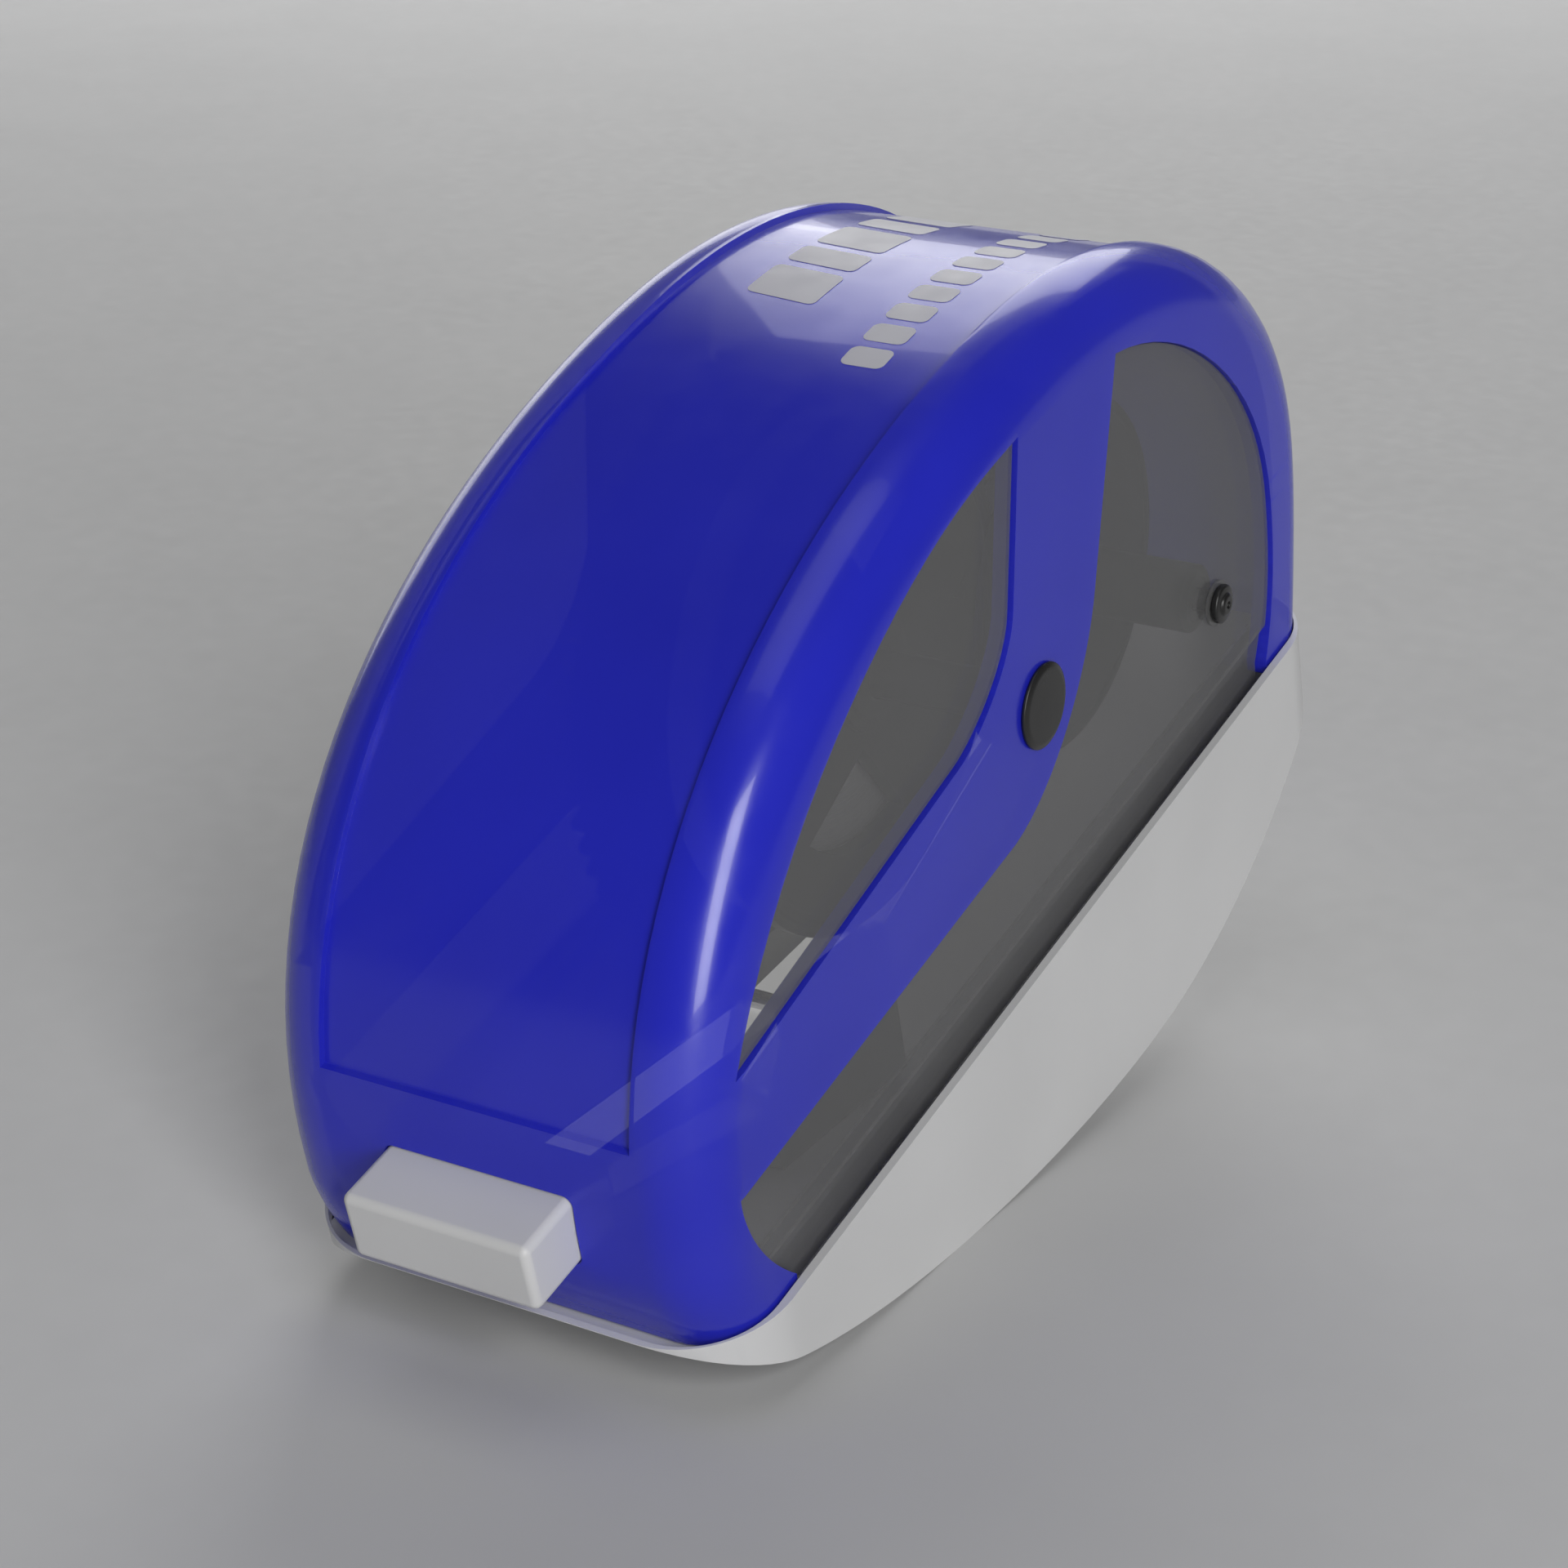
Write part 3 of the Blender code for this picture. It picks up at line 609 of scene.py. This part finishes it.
def pane(name, anchors, side, rolled):
    """A smoked pane. A rolled one steps inwards near its lower edge and leans in below that."""
    middle = side * (WINDOW_FACE - WINDOW_THICK / 2)
    plate = slab(name, anchors, middle, WINDOW_THICK / 2, 20)
    if rolled:
        bm = bmesh.new()
        bm.from_mesh(plate.data)
        for height in (LIP_TOP, LIP_TOP - LIP_RUN):
            split_faces(bm, (0, 0, height * MM), (0, 0, 1))
        for vert in bm.verts:
            drop = LIP_TOP - vert.co.z / MM
            if drop > 0.001:
                lean = LIP_LEAN * max(drop - LIP_RUN, 0.0)
                vert.co.y -= side * (LIP_STEP * min(drop / LIP_RUN, 1.0) + lean) * MM
        bm.to_mesh(plate.data)
        bm.free()
        if side < 0:
            hole = [(0, -8), (0.75, -8), (0.75, -16), (0, -16)]
            boolean(plate, turned("screw_hole", POST, hole, 0.001, 32))
            plate = carved(plate)
    return soften(plate, 0.12, 3, 50.0)


def windows():
    """The four panes, each a little smaller than its opening."""
    for side, name in ((-1, "near"), (1, "far")):
        front = pane(f"pane_front_{name}", front_window(WINDOW_GAP), side, False)
        finish_piece(front, SMOKE, "casing", "smoked_pane", f"window_front_{name}")
        rear = pane(f"pane_rear_{name}", rear_window(WINDOW_GAP), side, True)
        finish_piece(rear, SMOKE, "casing", "smoked_pane", f"window_rear_{name}")


def base():
    """The white tray: a crescent with rounded corners, hollow, with a ledge for the casing."""
    shell = slab("base_tray", crescent_outline(), 0.0, BASE_HALF, 48)
    hollow = slab("base_hollow", crescent_outline(BASE_WALL, 0.1), 0.0, BASE_HALF, 32)
    for part, inset in ((shell, 0.0), (hollow, BASE_WALL)):
        plan = rounded_plan(BASE_FRONT + inset, BASE_BACK - inset, BASE_HALF - inset,
                            BASE_CORNER - inset)
        boolean(part, slab("base_plan", plan, 0.0, 15.0, 16, across=False), 'INTERSECT')
    boolean(shell, hollow)
    plan = rounded_plan(BASE_FRONT + RIM_EDGE, BASE_BACK - RIM_EDGE, RIM_HALF, RIM_CORNER)
    boolean(shell, slab("rim_recess", plan, RIM_LEDGE + 5.0, 5.0, 16, across=False))
    shell = soften(carved(shell), 0.24, 5)
    finish_piece(shell, WHITE, "casing", "white_shell", "base_shell")


def head():
    """The tip head: a rounded block with an open channel for the roller."""
    low, high = HEAD
    block = box("tip_block", low, high)
    round_edges(block, HEAD_ROUND, 5)
    boolean(block, box("collar", (-28.1, -5.9, low[2] + 0.2), (-27.3, 5.9, 8.9)), 'UNION')
    boolean(block, box("channel", (low[0] + 0.6, -2.5, 0), (-20, 2.5, high[2] - 0.7)))
    hole = [(0, 7), (0.36, 7), (0.36, -4.6), (0, -4.6)]
    boolean(block, turned("pin_hole", TIP, hole, 0.001, 32))
    block = keep_flat(carved(block), 30.0)
    finish_piece(block, WHITE, "casing", "white_shell", "tip_head")


# ---------------------------------------------------------------- fasteners and buttons
def buttons():
    """The low round caps on the two ends of the supply axle."""
    foot, top = 12.56, 12.85
    crown = [(0, top), (BUTTON_R - 0.3, top), (BUTTON_R, top - 0.13), (BUTTON_R, foot), (0, foot)]
    for side, name in ((-1, "near"), (1, "far")):
        profile = crown if side > 0 else [(r, -y) for r, y in reversed(crown)]
        obj = turned(f"button_cap_{name}", AXLE, profile, 0.12)
        finish_piece(obj, BLACK, "supply_reel", "black_plastic", f"button_{name}")


def screw():
    """The stepped screw through the near rear pane, with a socket in its head."""
    shaft, collar, socket, end = 0.6, 1.1, 0.2, -13.1
    profile = [(0, -8.0), (shaft, -8.0), (shaft, -12.47), (collar, -12.47), (collar, -12.88),
               (0.66, -12.92), (0.62, -13.02), (0.5, end), (socket, end), (socket, -12.95),
               (0, -12.95)]
    obj = turned("screw_head", POST, profile, 0.16)
    finish_piece(obj, BLACK, "casing", "black_plastic", "post_screw")


# ---------------------------------------------------------------- reels
def sector_cutter(name, axis, heading_deg, apex, arc, half_deg, y_low, y_high):
    """A fan-shaped prism: its point at radius apex and its round edge at radius arc."""
    heading = math.radians(heading_deg)
    rim = [heading + math.radians(half_deg) * (i / 6 - 1) for i in range(13)]
    points = [(axis[0] + arc * math.cos(a), axis[1] + arc * math.sin(a)) for a in rim]
    points.append((axis[0] + apex * math.cos(heading), axis[1] + apex * math.sin(heading)))
    curve = flat_curve(name, (y_high - y_low) / 2)
    poly_ring(curve, points)
    return solid_from_curve(name, curve, (y_low + y_high) / 2)


def supply_reel():
    """The large reel: two side discs on a hub, the near one with cut-outs."""
    flange, inner, hub, bore = 14.1, 1.55, 4.4, AXLE_R + 0.05
    reel = turned("reel_supply", AXLE, [
        (2.9, 4.05), (2.9, 2.55), (12.9, 2.55), (13.1, 2.4), (13.4, 2.4), (13.6, 2.55),
        (flange, 2.55), (flange, inner), (hub, inner), (hub, -inner), (flange, -inner),
        (flange, -2.55), (13.6, -2.55), (13.4, -2.4), (13.1, -2.4), (12.9, -2.55),
        (3.2, -2.55), (3.2, -3.0), (2.6, -3.0), (2.6, -3.35), (bore, -3.35), (bore, 4.05),
    ], 0.1, 128)
    for turn in (0, 180):
        boolean(reel, sector_cutter("fan", AXLE, -112 + turn, 4.2, 9.7, 31, -4, -1))
        boolean(reel, sector_cutter("slit", AXLE, -7 + turn, 9.0, 10.5, 4, -4, -1))
    reel = soften(carved(reel), 0.06, 2, 50.0)
    finish_piece(reel, GREY, "supply_reel", "grey_plastic", "supply_spool")


def wound_roll(name, axis, outer, inner, half, layers, mat, body, slot, node):
    """A roll of tape whose layers stand slightly proud of each other at the sides."""
    step = (outer - inner) / layers
    wobble, groove = 0.02, 0.04
    side = []
    for i in range(layers):
        stand = half - wobble - wobble * math.sin(i * 2.4)
        side += [(outer - step * (i + 0.08), stand), (outer - step * (i + 0.92), stand)]
        side.append((outer - step * (i + 1), stand - groove))
    far_side = [(outer, half - 0.06), *side, (inner, half - 0.06)]
    near_side = [(r, -y) for r, y in reversed(far_side)]
    profile = list(reversed(far_side + near_side))
    obj = turned(name, axis, profile, 0.01, 96)
    finish_piece(obj, mat, body, slot, node)


def takeup_reel():
    """The small reel: its discs have a raised ring at the hub and a raised rim."""
    flange, low, high, hub, bore = 10.3, 2.75, 3.25, 4.8, POST_R + 0.1
    top = high + 0.1
    half = [(2.4, high), (2.4, top), (3.4, top), (3.4, high), (9.6, high), (9.7, top),
            (flange, top), (flange, low), (hub, low)]
    profile = half + [(r, -y) for r, y in reversed(half)] + [(bore, -high), (bore, high)]
    reel = turned("reel_takeup", POST, profile, 0.08, 96)
    finish_piece(reel, GREY, "takeup_reel", "grey_plastic", "takeup_spool")


def posts():
    """The supply axle with its collar, and the tube on the take-up post."""
    reach, collar = 12.45, 2.4
    axle = turned("axle_shaft", AXLE, [
        (0, reach), (AXLE_R, reach), (AXLE_R, -3.5), (AXLE_R, -9.6), (2.1, -9.6), (2.1, -9.9),
        (collar, -9.9), (collar, -10.9), (AXLE_R, -10.9), (AXLE_R, -reach), (0, -reach)], 0.12, 64)
    finish_piece(axle, GREY, "supply_reel", "grey_plastic", "main_axle")
    end = -WINDOW_FACE + WINDOW_THICK + 0.2
    tube = turned("post_tube", POST, [
        (1.93, -3.5), (1.93, end + 0.2), (1.6, end), (1.25, end), (1.25, -3.5)], 0.1, 64)
    finish_piece(tube, GREY, "casing", "grey_plastic", "post_spacer")


def tape_band():
    """The running tape: white on its way to the tip, spent carrier on its way back."""
    node = frame["nodes"]["tape_strip"]
    band = new_object("tape_band", node.data.copy())
    band.data.transform(ROLLER.inverted() @ node.matrix_world)
    # The white run to the tip glows with painted light, which stands in for the light that reaches
    # it through the casing.
    finish_piece(band, GLOWING_FREE_TAPE, "casing", "white_tape", "tape_strip")
    band.data.materials.append(PAPER)
    # The two runs part at the tip, and a sloping line from there lies between them
    tip_x, tip_z, fall, lowest = -33.0, 5.2, 0.267, -2.0
    for face in band.data.polygons:
        x, z = in_roller(face.center)
        face.material_index = 0 if z > max(tip_z - fall * (x - tip_x), lowest) else 1


def soften_cad():
    """Round the edges of the CAD nodes that stay."""
    for name in ("supply_gear", "takeup_gear", "bridge_plate", "tape_guide"):
        round_edges(frame["nodes"][name], 0.05, 2, 50.0)


def floor():
    """The plain pale floor."""
    mesh = bpy.data.meshes.new("floor")
    bm = bmesh.new()
    bmesh.ops.create_grid(bm, x_segments=1, y_segments=1, size=1.5)
    bm.to_mesh(mesh)
    bm.free()
    ground = new_object("floor", mesh)
    paper = plastic("floor_paper", (0.6, 0.6, 0.6), (0.62, 0.62, 0.62), (0.7, 0.8), 0.5)
    ground.data.materials.append(paper)


def area_light(name, spot, aim, size, power, turn_deg=0.0):
    """A soft rectangular light at spot, aimed at aim, both in millimetres of the row frame.

    size is its width and height, and turn_deg turns it about its own line of aim.
    """
    data = bpy.data.lights.new(name, 'AREA')
    data.shape = 'RECTANGLE'
    data.size = size[0] * MM
    data.size_y = size[1] * MM
    data.energy = power
    obj = new_object(name, data)
    obj.location = Vector(spot) * MM
    obj.rotation_mode = 'QUATERNION'
    facing = (Vector(aim) - Vector(spot)).to_track_quat('-Z', 'Y')
    obj.rotation_quaternion = facing @ Quaternion((0, 0, 1), math.radians(turn_deg))


def lights():
    """A dim sky and four softboxes."""
    world = bpy.data.worlds.new("studio")
    bpy.context.scene.world = world
    world.use_nodes = True
    background = world.node_tree.nodes["Background"]
    background.inputs["Color"].default_value = (0.97, 0.98, 1.0, 1.0)
    background.inputs["Strength"].default_value = 0.09
    bpy.context.scene.view_settings.view_transform = 'Standard'
    aim = (0, 0, 20)
    area_light("overhead_softbox", (1159, 478, 520), (1159, 478, 0), (1525, 490), 7.5, 27.0)
    area_light("back_softbox", (470, 600, 150), aim, (600, 240), 0.9)
    area_light("near_softbox", (-350, -400, 230), aim, (150, 420), 2.1)
    area_light("top_softbox", (-60, 0, 620), aim, (360, 360), 0.35)


def camera():
    """The roller seen from its front near corner, a little above it."""
    data = bpy.data.cameras.new("camera")
    data.lens = CAMERA_LENS
    data.sensor_width = 36.0
    data.clip_start = 0.01
    obj = new_object("camera", data)
    spot = ROLLER @ (Vector(CAMERA_SPOT) * MM)
    aim = ROLLER @ (Vector(CAMERA_AIM) * MM)
    obj.location = spot
    obj.rotation_mode = 'QUATERNION'
    obj.rotation_quaternion = (aim - spot).to_track_quat('-Z', 'Y')
    bpy.context.scene.camera = obj


def repaint_cad():
    """Give the CAD nodes that stay their detailed materials."""
    paints = {"grey_plastic": GREY, "black_plastic": BLACK, "steel": STEEL, "white_tape": TAPE,
              "paper_backing": PAPER, "clutch_felt": FELT, "white_shell": WHITE,
              "smoked_pane": SMOKE, "blue_casing": BLUE}
    slots = {part["node"]: part["material_slot"] for part in frame["record"]["subparts"]}
    for name, obj in frame["nodes"].items():
        for slot in obj.material_slots:
            slot.material = paints[slots[name]]


camera()
lights()
floor()
repaint_cad()
dome()
windows()
base()
head()
print_rows()
buttons()
screw()
supply_reel()
takeup_reel()
posts()
wound_roll("roll_supply", AXLE, 13.4, 4.5, 1.2, 36, TAPE, "supply_reel", "white_tape", "tape_roll")
wound_roll("roll_takeup", POST, 5.4, 4.9, 1.2, 3, PAPER, "takeup_reel", "paper_backing",
           "takeup_roll")
tape_band()
soften_cad()
